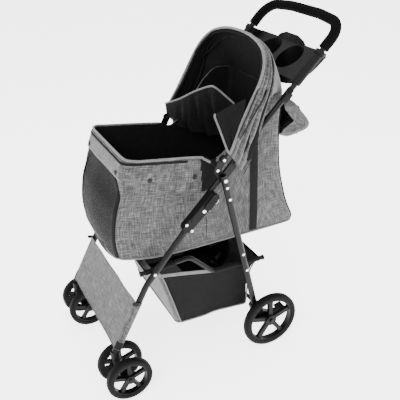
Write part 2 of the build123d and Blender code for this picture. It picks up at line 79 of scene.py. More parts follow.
def metres(points):
    """Millimetres to metres, with the centring shift."""
    p = np.array(points, float)
    p[..., 1] += SHIFT_Y
    return p / 1000


def along(points, count):
    """count points at even steps on the smooth (Catmull-Rom) line through the given ones."""
    p = np.asarray(points, float)
    q = np.vstack([2 * p[0] - p[1], p, 2 * p[-1] - p[-2]])
    t = np.linspace(0, 1, 24, endpoint=False)[:, None, None]
    a, b, c, d = q[:-3], q[1:-2], q[2:-1], q[3:]
    fine = 0.5 * (2 * b + (c - a) * t + (2 * a - 5 * b + 4 * c - d) * t**2
                  + (3 * b - a - 3 * c + d) * t**3)
    fine = np.vstack([fine.transpose(1, 0, 2).reshape(-1, p.shape[1]), p[-1:]])
    run = np.r_[0, np.cumsum(np.linalg.norm(np.diff(fine, axis=0), axis=1))]
    want = np.linspace(0, run[-1], count)
    return np.column_stack([np.interp(want, run, fine[:, i]) for i in range(p.shape[1])])


def table(points, at):
    """Value at 'at' of the smooth line through (position, value) pairs."""
    fine = along(points, 200)
    return np.interp(at, fine[:, 0], fine[:, 1])


def make_mesh(name, points, faces, uv=None, index=None):
    """Object from points in millimetres, faces, one uv per point and a material index per face."""
    used, faces = np.unique(np.asarray(faces), return_inverse=True)
    faces = faces.reshape(-1, 4)
    mesh = bpy.data.meshes.new(name)
    mesh.from_pydata(metres(points)[used].tolist(), [], faces.tolist())
    mesh.polygons.foreach_set("use_smooth", np.ones(len(mesh.polygons), bool))
    if uv is not None:
        layer = mesh.uv_layers.new(name="UVMap")
        corner = np.empty(len(mesh.loops), int)
        mesh.loops.foreach_get("vertex_index", corner)
        layer.data.foreach_set("uv", (uv[used][corner] / 1000).astype(np.float32).ravel())
    if index is not None:
        mesh.polygons.foreach_set("material_index", np.asarray(index, np.int32))
    mesh.validate()
    obj = bpy.data.objects.new(name, mesh)
    bpy.context.collection.objects.link(obj)
    return obj


def lengths(rows, axis):
    """Running length along one axis of a grid of points."""
    step = np.linalg.norm(np.diff(rows, axis=axis), axis=-1)
    pad = [(0, 0), (0, 0)]
    pad[axis] = (1, 0)
    return np.cumsum(np.pad(step, pad), axis=axis)


def surface(name, rows, keep=None, index=None, thick=0.0, inner=0, flip=False):
    """Smooth sheet through a grid of points. keep drops faces; thick gives it that thickness
    inwards, with the second material on the inner side."""
    rows = np.asarray(rows, float)
    nu, nv = rows.shape[:2]
    n = np.arange(nu * nv).reshape(nu, nv)
    quads = np.stack([n[:-1, :-1], n[1:, :-1], n[1:, 1:], n[:-1, 1:]], -1).reshape(-1, 4)
    if flip:
        quads = quads[:, ::-1]
    if index is not None:
        index = np.asarray(index).reshape(-1)
    if keep is not None:
        keep = keep.reshape(-1)
        quads = quads[keep]
        index = None if index is None else index[keep]
    across = lengths(rows, 0)[:, nv // 2][:, None] + np.zeros((1, nv))
    uv = np.stack([across, lengths(rows, 1)], -1).reshape(-1, 2)
    obj = make_mesh(name, rows.reshape(-1, 3), quads, uv, index)
    if thick:
        shell = obj.modifiers.new("Thickness", "SOLIDIFY")
        shell.thickness = thick / 1000
        shell.offset = -1
        shell.use_even_offset = False
        shell.material_offset = inner
    return obj


def frames(path):
    """Tangent and two cross directions at each point of a path, turned as little as possible."""
    t = np.gradient(path, axis=0)
    t /= np.linalg.norm(t, axis=1)[:, None]
    side = np.cross(t[0], (0.31, 0.12, 0.94))
    sides = []
    for tangent in t:
        side = side - tangent * (side @ tangent)
        side = side / np.linalg.norm(side)
        sides.append(side)
    sides = np.array(sides)
    return t, sides, np.cross(t, sides)


def rod(name, path, radius, sides=12, closed_ends=True):
    """Round bar of the given radius swept along a path."""
    path = np.asarray(path, float)
    _, a, b = frames(path)
    turn = np.linspace(0, 2 * np.pi, sides, endpoint=False)
    size = np.full(len(path), float(radius))
    if closed_ends:
        path = np.vstack([path[:1], path, path[-1:]])
        a, b = np.vstack([a[:1], a, a[-1:]]), np.vstack([b[:1], b, b[-1:]])
        size = np.r_[0.02, size, 0.02]
    ring = (a[:, None] * np.cos(turn)[None, :, None] + b[:, None] * np.sin(turn)[None, :, None])
    points = path[:, None] + ring * size[:, None, None]
    n = np.arange(len(path) * sides).reshape(len(path), sides)
    n = np.hstack([n, n[:, :1]])
    quads = np.stack([n[:-1, :-1], n[:-1, 1:], n[1:, 1:], n[1:, :-1]], -1).reshape(-1, 4)
    run = np.r_[0, np.cumsum(np.linalg.norm(np.diff(path, axis=0), axis=1))]
    uv = np.stack(np.broadcast_arrays(run[:, None], (turn * radius)[None]), -1).reshape(-1, 2)
    return make_mesh(name, points.reshape(-1, 3), quads, uv)


def join(name, parts):
    """Several meshes as one piece."""
    mesh = bpy.data.meshes.new(name)
    points, faces, base, uvs = [], [], 0, []
    for part in parts:
        data = part.data
        co = np.empty(len(data.vertices) * 3)
        data.vertices.foreach_get("co", co)
        points.append(co.reshape(-1, 3))
        faces += [[base + i for i in poly.vertices] for poly in data.polygons]
        uv = np.zeros(len(data.loops) * 2)
        if data.uv_layers:
            data.uv_layers[0].data.foreach_get("uv", uv)
        uvs.append(uv)
        base += len(data.vertices)
        bpy.data.objects.remove(part)
    mesh.from_pydata(np.vstack(points).tolist(), [], faces)
    mesh.polygons.foreach_set("use_smooth", np.ones(len(mesh.polygons), bool))
    mesh.uv_layers.new(name="UVMap").data.foreach_set("uv", np.concatenate(uvs).astype(np.float32))
    obj = bpy.data.objects.new(name, mesh)
    bpy.context.collection.objects.link(obj)
    return obj


def ripple(a, b, size, waves):
    """Gentle uneven relief over two running coordinates: a few crossed waves."""
    total = 0
    for k in range(waves):
        fa, fb, phase = rng.uniform(0.4, 1.0), rng.uniform(0.4, 1.0), rng.uniform(0, 6.28)
        slant = rng.uniform(-1, 1)
        total = total + np.sin(a * fa / 28 + slant * b * fb / 40 + phase) / waves
    return total * size


print("tools ready")

# %% [markdown]
# ## Finishes
# Each finish is a node material on object or cloth coordinates, in metres. The real cloth is a
# weave of pale and dark threads. An image could stand for it, but nodes keep the threads the same
# size on every piece.

# %% Finishes
def finish_nodes(name):
    """New material, its node tree and its main shader."""
    mat = bpy.data.materials.new(name)
    mat.use_nodes = True
    tree = mat.node_tree
    return mat, tree, tree.nodes["Principled BSDF"]


def node(tree, kind, inputs=(), **settings):
    """Add a node; inputs maps a socket name or number to a value or another socket."""
    new = tree.nodes.new(kind)
    for key, value in settings.items():
        setattr(new, key, value)
    for key, value in dict(inputs).items():
        if isinstance(value, bpy.types.NodeSocket):
            tree.links.new(value, new.inputs[key])
        else:
            new.inputs[key].default_value = value
    return new


def noise(tree, where, scale, stretch=(1, 1, 1), detail=2.0, rough=0.5):
    """Noise at the given scale per metre, stretched along the axes."""
    spread = node(tree, "ShaderNodeMapping", {"Vector": where, "Scale": stretch})
    return node(tree, "ShaderNodeTexNoise", {"Vector": spread.outputs[0], "Scale": scale,
                                             "Detail": detail, "Roughness": rough}).outputs[0]


def mix(tree, factor, a, b):
    """Blend of two numbers."""
    m = node(tree, "ShaderNodeMix", {0: factor, 2: a, 3: b}, data_type="FLOAT")
    return m.outputs[0]


def ramp(tree, factor, stops):
    """Colour ramp over (position, colour) stops."""
    r = node(tree, "ShaderNodeValToRGB", {0: factor})
    while len(r.color_ramp.elements) < len(stops):
        r.color_ramp.elements.new(0.5)
    for element, (place, colour) in zip(r.color_ramp.elements, stops):
        element.position = place
        element.color = (*colour, 1)
    return r.outputs[0]


def bump(tree, height, depth, strength=1.0):
    """Relief of the given depth in metres."""
    return node(tree, "ShaderNodeBump", {"Height": height, "Distance": depth,
                                         "Strength": strength}).outputs[0]


def cloth_finish(name, dark, mid, light, rough=0.92, sheen=0.25, slub=1.0, coords="UV"):
    """Plain-weave cloth: threads both ways with uneven slubs and a soft overall mottling."""
    mat, tree, shader = finish_nodes(name)
    uv = node(tree, "ShaderNodeTexCoord").outputs[coords]
    weft = noise(tree, uv, 1.0, (30, 330, 1), 4.0, 0.65)
    warp = noise(tree, uv, 1.0, (330, 30, 1), 4.0, 0.65)
    threads = mix(tree, 0.5, weft, warp)
    mottle = noise(tree, uv, 24.0, detail=3.0)
    blend = mix(tree, 0.1, threads, mottle)
    spread = 0.1 * slub
    colour = ramp(tree, blend, [(0.5 - spread, dark), (0.5, mid), (0.5 + spread, light)])
    tree.links.new(colour, shader.inputs["Base Color"])
    fine = noise(tree, uv, 900.0, detail=1.0)
    tree.links.new(bump(tree, mix(tree, 0.4, threads, fine), 0.0006, 0.7), shader.inputs["Normal"])
    shader.inputs["Roughness"].default_value = rough
    shader.inputs["Sheen Weight"].default_value = sheen
    shader.inputs["Sheen Roughness"].default_value = 0.6
    shader.inputs["Specular IOR Level"].default_value = 0.15
    return mat


def mesh_finish(name, colour, open_share=0.35, pitch=0.0022):
    """Net: round holes in rows, seen through where the threads leave them."""
    mat, tree, shader = finish_nodes(name)
    uv = node(tree, "ShaderNodeTexCoord").outputs["UV"]
    cells = node(tree, "ShaderNodeTexVoronoi", {"Vector": uv, "Scale": 1 / pitch,
                                                "Randomness": 0.1})
    hole = node(tree, "ShaderNodeMath", {0: cells.outputs["Distance"], 1: 0.36}, operation="GREATER_THAN")
    clear = node(tree, "ShaderNodeMath", {0: hole.outputs[0], 1: open_share}, operation="MAXIMUM")
    tint = noise(tree, uv, 30.0)
    tree.links.new(ramp(tree, tint, [(0.35, colour), (0.65, tuple(c * 1.5 for c in colour))]),
                   shader.inputs["Base Color"])
    tree.links.new(clear.outputs[0], shader.inputs["Alpha"])
    tree.links.new(bump(tree, cells.outputs["Distance"], 0.0004, 0.15), shader.inputs["Normal"])
    shader.inputs["Roughness"].default_value = 0.8
    shader.inputs["Specular IOR Level"].default_value = 0.15
    return mat


def moulded_finish(name, colour, rough, grain=900.0, depth=0.00012, spec=0.25, wear=0.35):
    """Moulded plastic or painted metal: fine grain, faint cloudiness, uneven gloss."""
    mat, tree, shader = finish_nodes(name)
    place = node(tree, "ShaderNodeTexCoord").outputs["Object"]
    cloud = noise(tree, place, 14.0, detail=4.0)
    tint = ramp(tree, cloud, [(0.3, tuple(c * (1 - wear * 0.4) for c in colour)),
                              (0.7, tuple(c * (1 + wear * 0.4) for c in colour))])
    tree.links.new(tint, shader.inputs["Base Color"])
    grit = noise(tree, place, grain, detail=1.0)
    span = node(tree, "ShaderNodeMapRange", {"Value": cloud, "From Min": 0.3, "From Max": 0.7,
                                             "To Min": rough - 0.05, "To Max": rough + 0.07})
    tree.links.new(span.outputs[0], shader.inputs["Roughness"])
    tree.links.new(bump(tree, grit, depth, 0.5), shader.inputs["Normal"])
    shader.inputs["Specular IOR Level"].default_value = spec
    return mat


def metal_finish(name, colour, rough):
    """Bare metal with fine scratches."""
    mat, tree, shader = finish_nodes(name)
    place = node(tree, "ShaderNodeTexCoord").outputs["Object"]
    scratch = noise(tree, place, 1.0, (2200, 120, 2200), 2.0)
    tree.links.new(ramp(tree, scratch, [(0.3, tuple(c * 0.85 for c in colour)), (0.7, colour)]),
                   shader.inputs["Base Color"])
    shader.inputs["Metallic"].default_value = 1.0
    span = node(tree, "ShaderNodeMapRange", {"Value": scratch, "To Min": rough - 0.08, "To Max": rough + 0.1})
    tree.links.new(span.outputs[0], shader.inputs["Roughness"])
    return mat


GREY = cloth_finish("cloth_grey", (0.010, 0.010, 0.0103), (0.038, 0.038, 0.0386), (0.12, 0.12, 0.1215),
                    slub=0.9)
PIPING = cloth_finish("cloth_piping", (0.06, 0.06, 0.061), (0.1, 0.1, 0.102), (0.16, 0.16, 0.162), slub=1.4)
LINING = cloth_finish("cloth_lining", (0.0012, 0.0012, 0.0012), (0.0024, 0.0024, 0.0025),
                      (0.005, 0.005, 0.0052),
                      rough=0.85, sheen=0.0)
PAD_CLOTH = cloth_finish("pad_black", (0.0012, 0.0012, 0.0012), (0.0026, 0.0026, 0.0027),
                         (0.0055, 0.0055, 0.0057),
                         rough=0.85, sheen=0.0, coords="Object")
WEBBING = cloth_finish("webbing", (0.001, 0.001, 0.001), (0.002, 0.002, 0.0021), (0.0042, 0.0042, 0.0044),
                       rough=0.8, sheen=0.0)
NET = mesh_finish("net_black", (0.0018, 0.0018, 0.0019), 0.88)
NET_THIN = mesh_finish("net_window", (0.003, 0.003, 0.0032), 0.72, pitch=0.003)
STEEL_BLACK = moulded_finish("steel_black", (0.0022, 0.0022, 0.0023), 0.36, 600.0, 0.00005, spec=0.16)
PLASTIC = moulded_finish("plastic_black", (0.0024, 0.0024, 0.0025), 0.52, 1100.0, 0.00018, spec=0.12)
RIM = moulded_finish("plastic_rim", (0.002, 0.002, 0.0021), 0.45, 900.0, 0.0001, spec=0.12)
TYRE = moulded_finish("tyre_black", (0.0022, 0.0022, 0.0023), 0.65, 500.0, 0.0002, spec=0.09)
FOAM = moulded_finish("grip_foam", (0.0018, 0.0018, 0.0019), 0.9, 700.0, 0.0006, spec=0.05)
RIVET = metal_finish("rivet_steel", (0.78, 0.78, 0.77), 0.24)
SNAP = moulded_finish("snap_dark", (0.0025, 0.0025, 0.0026), 0.4, 900.0, 0.00005, spec=0.2)
by_slot = {"cloth_grey": GREY, "mesh_black": NET, "lining_black": LINING, "webbing_black": WEBBING,
           "black_steel": STEEL_BLACK, "black_plastic": PLASTIC, "rim_plastic": RIM, "tyre_black": TYRE,
           "grip_foam": FOAM, "rivet_steel": RIVET, "snap_grey": SNAP}
for part in frame["record"]["subparts"]:
    obj = frame["nodes"][part["node"]]
    obj.data.materials.clear()
    obj.data.materials.append(by_slot[part["material_slot"]])
print("finishes", len(bpy.data.materials))

# %% [markdown]
# ## Camera, floor and light
# A long lens from the front right and above, a pale floor, and broad soft lamps. One small lamp
# would be simpler, but broad ones keep the black parts readable and the shadows soft.

# %% Camera, floor and light
AZIMUTH, ELEVATION, ROLL = np.radians([64.3, 28.1, -1.7])
EYE = (1512.8, -699.1, 1335.9)
back = np.array([np.sin(AZIMUTH) * np.cos(ELEVATION), -np.cos(AZIMUTH) * np.cos(ELEVATION),
                 np.sin(ELEVATION)])
right = np.array([np.cos(AZIMUTH), np.sin(AZIMUTH), 0.0])
up = np.cross(back, right)
level_right = np.cos(ROLL) * right + np.sin(ROLL) * up
level_up = -np.sin(ROLL) * right + np.cos(ROLL) * up
lens = bpy.data.cameras.new("camera")
lens.lens, lens.sensor_width, lens.clip_start, lens.clip_end = 55.6, 36.0, 0.05, 50.0
lens.shift_x, lens.shift_y = -0.0008, 0.0047
camera = bpy.data.objects.new("camera", lens)
bpy.context.collection.objects.link(camera)
spot = metres(EYE)
camera.matrix_world = Matrix([[level_right[i], level_up[i], back[i], spot[i]] for i in range(3)]
                             + [[0, 0, 0, 1]])
bpy.context.scene.camera = camera

floor_mat, _, floor_shader = finish_nodes("floor_pale")
floor_shader.inputs["Base Color"].default_value = (0.93, 0.93, 0.93, 1)
floor_shader.inputs["Roughness"].default_value = 0.9
floor_shader.inputs["Emission Color"].default_value = (1, 1, 1, 1)
floor_shader.inputs["Emission Strength"].default_value = 3.4
floor_mesh = bpy.data.meshes.new("floor")
floor_mesh.from_pydata([(-12, -12, 0), (12, -12, 0), (12, 12, 0), (-12, 12, 0)], [], [(0, 1, 2, 3)])
floor = bpy.data.objects.new("floor", floor_mesh)
floor_mesh.materials.append(floor_mat)
bpy.context.collection.objects.link(floor)

world = bpy.data.worlds.new("studio")
world.use_nodes = True
world.node_tree.nodes["Background"].inputs[0].default_value = (1, 1, 1, 1)
world.node_tree.nodes["Background"].inputs[1].default_value = 1.15
bpy.context.scene.world = world


def lamp(name, place, target, size, watts):
    """Square soft lamp aimed at a point, in metres."""
    light = bpy.data.lights.new(name, "AREA")
    light.size, light.energy = size, watts
    obj = bpy.data.objects.new(name, light)
    bpy.context.collection.objects.link(obj)
    z = np.subtract(place, target)
    z = z / np.linalg.norm(z)
    x = np.cross((0, 0, 1), z)
    x = x / np.linalg.norm(x)
    y = np.cross(z, x)
    obj.matrix_world = Matrix([[x[i], y[i], z[i], place[i]] for i in range(3)] + [[0, 0, 0, 1]])
    return obj


lamp("key", (1.6, -1.8, 2.4), (0, 0, 0.5), 1.6, 85)
lamp("fill", (2.4, 1.2, 1.4), (0, 0, 0.5), 2.0, 22)
lamp("top", (-0.6, 0.4, 2.8), (0, 0, 0.6), 2.2, 48)
print("camera at", [round(float(c), 3) for c in spot])

# %% [markdown]
# ## Cabin
# The cabin is a tub whose plan is a rounded rectangle. Its front and rear faces lean with
# height, its top edge follows the rim and then climbs behind the hinge, and its lower edge sags.
# It could be sewn from panels with a cloth run. One wall worked out from a place round the tub and
# a height is chosen, because the collar, zip, straps and seams are laid on it by the same two
# numbers. The base is a sheet of its own, and a narrow slit is left between it and the rear wall.

# %% Cabin walls
CABIN_FRONT = [(372, -276), (384, -282), (396, -290), (430, -296), (480, -299), (548, -289),
               (600, -272), (652, -262), (692, -249), (700, -247)]
CABIN_REAR = [(372, 258), (384, 265), (404, 270), (450, 251), (496, 237), (582, 220), (690, 216),
              (766, 221), (810, 226)]
SIDE_TOP = [(-262, 692.5), (-246, 692.5), (-36, 661), (-8, 650), (14, 650), (40, 672), (70, 714),
            (110, 770), (150, 803), (190, 804), (232, 792)]
SIDE_LOW = [(-300, 419), (-232, 400), (-168, 389), (-60, 385), (230, 385), (275, 392)]


class Tub:
    """Walls round a rounded rectangle. A place on them is s, from 0 at the middle of the front
    round the +X side to 1 at the middle of the back (and negative on the -X side), and z."""

    def __init__(self, front, rear, half, front_corner, rear_corner):
        self.front, self.rear, self.half = front, rear, half
        self.front_corner, self.rear_corner = front_corner, rear_corner

    def edges(self, z):
        return (table(self.front, z), table(self.rear, z), table(self.half, z),
                table(self.front_corner, z), table(self.rear_corner, z))

    def at(self, s, z, off=0.0):
        """Points at (s, z), moved outwards by off."""
        s, z, off = np.broadcast_arrays(np.asarray(s, float), np.asarray(z, float), np.asarray(off, float))
        y0, y1, half, c0, c1 = self.edges(z)
        a = np.abs(s)
        run = (half - c0) * np.clip(a / 0.22, 0, 1)
        turn0 = np.clip((a - 0.22) / 0.05, 0, 1) * np.pi / 2
        side = np.clip((a - 0.27) / 0.46, 0, 1)
        turn1 = np.clip((a - 0.73) / 0.05, 0, 1) * np.pi / 2
        back_run = np.clip((a - 0.78) / 0.22, 0, 1)
        x = np.where(a < 0.27, run + c0 * np.sin(turn0), half - c1 * (1 - np.cos(turn1)))
        x = np.where(a > 0.78, (half - c1) * (1 - back_run), x)
        y = np.where(a < 0.27, y0 + c0 * (1 - np.cos(turn0)), y0 + c0 + (y1 - c1 - y0 - c0) * side)
        y = np.where(a > 0.73, y1 - c1 + c1 * np.sin(turn1), y)
        angle = -np.pi / 2 + turn0 + turn1
        nx, ny = np.cos(angle), np.sin(angle)
        nx, ny = np.where(a <= 0.22, 0, nx), np.where(a <= 0.22, -1, ny)
        x, y = x + nx * off, y + ny * off
        return np.stack([np.sign(s) * x, y, z], -1)

    def side_s(self, y, z):
        """s of the point of the side wall at (y, z)."""
        y0, y1, _, c0, c1 = self.edges(np.asarray(z, float))
        return 0.27 + 0.46 * (y - y0 - c0) / (y1 - c1 - y0 - c0)


cabin = Tub(CABIN_FRONT, CABIN_REAR,
            [(372, 147), (400, 150), (470, 151.5), (560, 151), (640, 149.5), (700, 148), (810, 148)],
            [(372, 20), (560, 18), (640, 24), (692, 34), (810, 34)], [(372, 18), (810, 18)])


def top_of(s):
    """Height of the cabin's top edge."""
    y = cabin.at(s, 660.0)[..., 1]
    return np.where(np.abs(s) < 0.25, 692.5, table(SIDE_TOP, y))


def low_of(s):
    """Height of the cabin's lower edge: it dips to the middle of the front."""
    p = cabin.at(s, 400.0)
    dip = 386 + 33 * np.clip(np.abs(p[..., 0]) / 150, 0, 1) ** 2
    return np.where(np.abs(s) < 0.245, dip, table(SIDE_LOW, p[..., 1]))


def window_top(x, shrink=0.0):
    """Top of the arched window at x."""
    share = np.clip(np.abs(x) / (137.0 - shrink), 0, 1)
    return 560 - shrink + 86 * (1 - share**3.2) ** (1 / 3.2)


def front_bulge(points):
    """The front face bellies forward between its edges, most low in the middle."""
    x, z = points[..., 0], points[..., 2]
    facing = np.clip(-(points[..., 1] + 225) / 40, 0, 1)
    belly = np.clip(1 - (x / 140) ** 2, 0, 1) * np.clip((655 - z) / 90, 0, 1) * np.clip((z - 372) / 60, 0, 1)
    points[..., 1] -= 9 * belly * facing
    return points


PLAN = np.r_[-1:1:461j]
down = np.linspace(0, 1, 96)
s_grid, v_grid = np.meshgrid(PLAN, down, indexing="ij")
top, low = top_of(PLAN)[:, None], low_of(PLAN)[:, None]
z_grid = top + (low - top) * v_grid
walls = cabin.at(s_grid, z_grid)
y_mid = walls[..., 1]
soft_share = np.sin(np.pi * v_grid) ** 0.6
crease = ripple(y_mid + walls[..., 0], z_grid, 1.6, 5) + ripple(3 * y_mid, 1.2 * z_grid, 0.7, 5)
pucker = (2.2 * np.exp(-(((y_mid + 20) / 30) ** 2 + ((z_grid - 520) / 60) ** 2))
          * np.sin(y_mid / 5 + z_grid / 26))
walls = cabin.at(s_grid, z_grid, (crease + pucker) * soft_share)
walls = front_bulge(walls)
middle = (walls[:-1, :-1] + walls[1:, 1:]) / 2
on_front = np.abs(s_grid[:-1, :-1]) < 0.25
hole = on_front & (np.abs(middle[..., 0]) < 131) & (middle[..., 2] < window_top(middle[..., 0], 6)) & (
    middle[..., 2] > low_of(PLAN)[:-1, None] + 8)
gusset = (middle[..., 1] > -38) & (middle[..., 1] < 10) & (middle[..., 2] > 560) & ~on_front
wall_piece = surface("cabin_walls", walls, keep=~hole, index=np.where(gusset, 2, 0), thick=2.2, inner=1,
                     flip=True)
for mat in (GREY, LINING, LINING):
    wall_piece.data.materials.append(mat)

cross, run = np.meshgrid(np.r_[-1:1:61j], np.r_[0:1:91j], indexing="ij")
edge_s = 0.245 + 0.51 * run
edge = cabin.at(edge_s, low_of(edge_s))
sag = np.interp(run, [0, 0.12, 1], [33, 9, 5])
base = np.stack([edge[..., 0] * cross, edge[..., 1], edge[..., 2] - sag * (1 - cross**2)], -1)
base[..., 1] -= 9 * np.clip(1 - cross**2, 0, 1) * np.clip(1 - run * 9, 0, 1)
base[..., 2] += ripple(base[..., 0], base[..., 1], 1.2, 4) * np.sin(np.pi * run) * (1 - cross**2)
floor_piece = surface("cabin_base", base, thick=2.0, inner=1)
floor_piece.data.materials.append(GREY)
floor_piece.data.materials.append(LINING)


def front_at(x, z, off=0.0):
    """Point of the bulging front face at (x, z), moved forward by off."""
    x, z = np.broadcast_arrays(np.asarray(x, float), np.asarray(z, float))
    y0, _, half, corner, _ = cabin.edges(z)
    past = np.clip(np.abs(x) - (half - corner), 0, corner * 0.98)
    y = y0 + corner - np.sqrt(corner**2 - past**2)
    return front_bulge(np.stack([x, y - off, z], -1))


def front_low(x):
    return 386 + 33 * np.clip(np.abs(x) / 150, 0, 1) ** 2


across, rise = np.meshgrid(np.r_[-1:1:81j], np.r_[0:1:61j], indexing="ij")
wx = 137 * np.sin(across * np.pi / 2 * 0.98) / np.sin(np.pi / 2 * 0.98)
wz = front_low(wx) + 3 + (window_top(wx) - front_low(wx) - 3) * rise
net = front_at(wx, wz, 0.6 + ripple(wx, wz, 1.5, 5))
window_piece = surface("window_net", net, thick=0.5)
window_piece.data.materials.append(NET_THIN)


def front_ribbon(name, line, width, off, thick, mat):
    """Tape of the given width laid on the front face along a line of (x, z) points."""
    line = along(line, 200)
    t = np.gradient(line, axis=0)
    t /= np.linalg.norm(t, axis=1)[:, None]
    normal = np.stack([-t[:, 1], t[:, 0]], -1)
    w = np.linspace(-1, 1, 7)
    flat = line[:, None] + normal[:, None] * (w * width / 2)[None, :, None]
    crown = off + thick * (1 - w**4)[None, :] * 0.6
    obj = surface(name, front_at(flat[..., 0], flat[..., 1], crown), thick=thick)
    obj.data.materials.append(mat)
    return obj


arch_x = 137 * np.sin(np.linspace(-1, 1, 31) * np.pi / 2)
arch = [(-137, front_low(137.0) + 2), (-137, 470), (-137, 520)]
arch += [(x, float(window_top(x))) for x in arch_x]
arch += [(137, 520), (137, 470), (137, front_low(137.0) + 2)]
window_tape = front_ribbon("window_tape", arch, 17, 1.6, 1.2, LINING)
tape_inside = front_ribbon("window_tape_inside", arch, 15, -4.2, 1.0, LINING)
print("cabin walls", len(wall_piece.data.polygons), "faces")

# %% [markdown]
# ## Collar, rim piping, seams and straps of the cabin
# A grey collar folds over the rim, with pale piping above it and a black zip just below. They
# could be painted on the wall. They are strips and rods just outside it instead, so that their
# edges catch the light.

# %% Collar, piping, zip, snaps, straps
END_S = float(cabin.side_s(-44.0, 640.0))
cs, cv = np.meshgrid(np.linspace(-END_S, END_S, 361), np.linspace(0, 1, 17), indexing="ij")
ref_y = cabin.at(cs, 640.0)[..., 1]
COLLAR_LOW = [(-264, 643), (-240, 641), (-150, 619), (-64, 598), (-40, 593)]
collar_low = np.where(np.abs(cs) < 0.25, 643, table(COLLAR_LOW, ref_y))
round_end = np.clip((ref_y + 66) / 22, 0, 1)
collar_low = collar_low + 24 * (1 - np.sqrt(np.clip(1 - round_end**2, 0, 1)))
collar_top = top_of(cs) - 2
cz = collar_top + (collar_low - collar_top) * cv
lift = 2.2 + 1.8 * cv + 0.8 * np.sin(ref_y / 17 + cs * 20) * cv
collar = cabin.at(cs, cz, lift)
collar_piece = surface("cabin_collar", front_bulge(collar), thick=1.4, flip=True)
collar_piece.data.materials.append(GREY)

rim_line = along([(168, -18, 650), (156, -30, 657), (148, -44, 662.5), (148, -130, 676), (148, -205, 687),
                  (146, -226, 691), (136, -241, 693), (112, -247, 694), (60, -247.5, 694),
                  (0, -247.5, 694)], 150)
rim_line = np.vstack([rim_line, (rim_line * (-1, 1, 1))[-2::-1]])
rim_piping = rod("rim_piping", rim_line, 3.3, 14)
rim_piping.data.materials.append(PIPING)
link_line = along([(183, -6, 630), (174, -9, 641), (162, -22, 654)], 20)
rim_links = join("rim_wire_ends", [rod("link", link_line * (side, 1, 1), 2.2, 10) for side in (1, -1)])
rim_links.data.materials.append(STEEL_BLACK)

zip_s = np.linspace(-float(cabin.side_s(-78.0, 660.0)), float(cabin.side_s(-78.0, 660.0)), 301)
zip_z = top_of(zip_s) - 8.5
zs = np.stack([cabin.at(zip_s, zip_z + w, 3.4 + 1.0 * (1 - (w / 3.2) ** 2))
               for w in np.linspace(3.2, -3.2, 6)], 1)
rim_zip = surface("rim_zip", zs, thick=0.8, flip=True)
rim_zip.data.materials.append(WEBBING)
under_s = np.linspace(-1, 1, 401)
bottom_piping = rod("bottom_piping", front_bulge(cabin.at(under_s, low_of(under_s) + 1, 1.0)), 2.6, 10, False)
bottom_piping.data.materials.append(PIPING)
corner_seams = []
for side in (1, -1):
    z = np.linspace(392, 785, 90)
    corner_seams.append(rod("corner", cabin.at(side * 0.755, z, 0.6), 2.2, 8))
    z = np.linspace(403, 492, 30)
    corner_seams.append(rod("seam", cabin.at(side * cabin.side_s(-27.0, z), z, -0.3), 0.9, 6))
corner_seams = join("cabin_seams", corner_seams)
corner_seams.data.materials.append(LINING)


def button(name, place, normal, radius=6.6, height=3.0):
    """Domed snap with a rolled edge, centred at place and facing along normal."""
    normal = np.array(normal, float) / np.linalg.norm(normal)
    x = np.cross(normal, (0, 0, 1.0))
    x /= np.linalg.norm(x)
    y = np.cross(normal, x)
    profile = np.array([(1.0, 0.0), (1.0, 0.35), (0.94, 0.62), (0.82, 0.7), (0.7, 0.6), (0.6, 0.72),
                        (0.3, 0.95), (0.01, 1.0)])
    turn = np.linspace(0, 2 * np.pi, 25)
    ring = x[None] * np.cos(turn)[:, None] + y[None] * np.sin(turn)[:, None]
    rows = (place + ring[:, None] * (profile[:, 0] * radius)[None, :, None]
            + normal * (profile[:, 1] * height)[None, :, None])
    return surface(name, rows)


snaps = []
for side in (1, -1):
    for y, z in ((-189, 631), (-60, 611)):
        s = float(cabin.side_s(y, z))
        snaps.append(button("snap", cabin.at(side * s, z, 4.6), (side, 0, 0)))
    snaps.append(button("snap", front_at(side * 112.0, 655.0, 4.6), (side * 0.25, -1, 0.2)))
snap_piece = join("cabin_snaps", snaps)
snap_piece.data.materials.append(SNAP)

straps = []
for side in (1, -1):
    z, w = np.meshgrid(np.linspace(392, 742, 60), np.linspace(-12.5, 12.5, 7), indexing="ij")
    strap_rows = cabin.at(side * cabin.side_s(127.0 + w * side, z), z, 2.6 + 0.3 * np.cos(w / 4))
    straps.append(surface("strap", strap_rows, thick=1.2, flip=True))
side_strap = join("cabin_side_webbing", straps)
side_strap.data.materials.append(WEBBING)
print("collar ends at s", round(END_S, 3))

# %% [markdown]
# ## Floor pad
# A thin padded mat with rounded corners and cross stitching. A short cloth run blows it up, and a
# cap of 5 mm, which every point reaches, sets how far it goes.

# %% Floor pad
low_corner, high_corner = (np.array(c) * 1000 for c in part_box("floor_pad"))
half_x, y0, y1 = high_corner[0] - 6, low_corner[1] - SHIFT_Y + 6, high_corner[1] - SHIFT_Y - 8
print("pad", round(2 * half_x), "by", round(y1 - y0))


def pad_face(up_side):
    """Low crowned face of the pad, before it swells."""
    a, b = np.meshgrid(np.linspace(-1, 1, 89), np.linspace(-1, 1, 141), indexing="ij")
    inset = 1 - 0.035 * (np.abs(a) * np.abs(b)) ** 4
    fall = np.sqrt(np.clip(1 - np.maximum(np.abs(a), np.abs(b)) ** 14, 0, 1))
    return np.stack([a * inset * half_x, (y0 + y1) / 2 + b * inset * (y1 - y0) / 2,
                     411 + up_side * 4.5 * fall], -1)


def own_mesh(piece):
    """The piece with its modifiers made real."""
    mesh = bpy.data.meshes.new_from_object(piece.evaluated_get(bpy.context.evaluated_depsgraph_get()))
    piece.modifiers.clear()
    piece.data = mesh


def corners_of(mesh):
    place = np.empty(len(mesh.vertices) * 3)
    mesh.vertices.foreach_get("co", place)
    return place.reshape(-1, 3)


